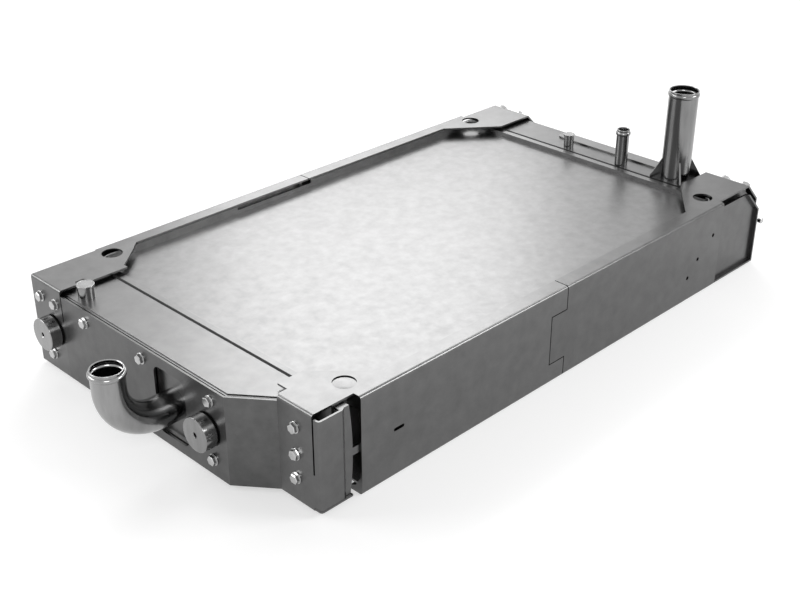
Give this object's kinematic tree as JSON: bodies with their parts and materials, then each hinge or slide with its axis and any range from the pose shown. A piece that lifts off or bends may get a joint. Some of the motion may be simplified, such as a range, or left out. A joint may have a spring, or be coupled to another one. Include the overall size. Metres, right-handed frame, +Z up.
{
  "type": "radiator core",
  "caption": "Tube and fin radiator core with welded end tanks in a folded sheet frame, an elbow outlet, a tall inlet pipe, a vent pipe and a pressed tray over one face.",
  "frame": {"origin": "under the middle of the part, on the plane the side rails rest on", "axes": "+X along the tubes from the elbow end to the straight pipe end, +Z up out of the covered face, -Y the side with the slot and the drain screw"},
  "size_m": [1.191, 0.5874, 0.2995],
  "materials": {
    "frame_sheet": "satin",
    "tank_sheet": "satin",
    "face_sheet": "satin, faintly clouded",
    "core_metal": "brazed",
    "pipe_metal": "polished",
    "fastener_metal": "zinc plated",
    "seam_filler": "matte"
  },
  "bodies": {
    "root": {"outlet_rail_right": "frame_sheet", "outlet_rail_left": "frame_sheet", "inlet_rail_right": "frame_sheet", "inlet_rail_left": "frame_sheet", "rail_splices": "frame_sheet", "outlet_end_plate": "frame_sheet", "outlet_tank_flange": "frame_sheet", "outlet_base_right": "frame_sheet", "outlet_base_left": "frame_sheet", "inlet_corner_right": "frame_sheet", "inlet_corner_left": "frame_sheet", "outlet_tank": "tank_sheet", "inlet_tank": "tank_sheet", "outlet_header": "tank_sheet", "inlet_header": "tank_sheet", "tank_strip": "tank_sheet", "corner_blocks": "seam_filler", "outlet_seam_ring": "seam_filler", "inlet_seam_ring": "seam_filler", "core_tubes": "core_metal", "core_fins": "core_metal", "core_side_right": "core_metal", "core_side_left": "core_metal", "face_tray": "face_sheet", "spacer_post": "fastener_metal", "outlet_elbow": "pipe_metal", "pad_rings": "seam_filler", "mount_pads": "pipe_metal", "inlet_pipe": "pipe_metal", "pipe_gussets": "pipe_metal", "vent_pipe": "pipe_metal", "outlet_boss": "pipe_metal", "inlet_boss": "pipe_metal", "end_plate_bolts": "fastener_metal", "corner_bolts": "fastener_metal", "slope_bolts": "fastener_metal", "bolt_spacers": "fastener_metal", "drain_screw": "fastener_metal"}
  },
  "joints": []
}
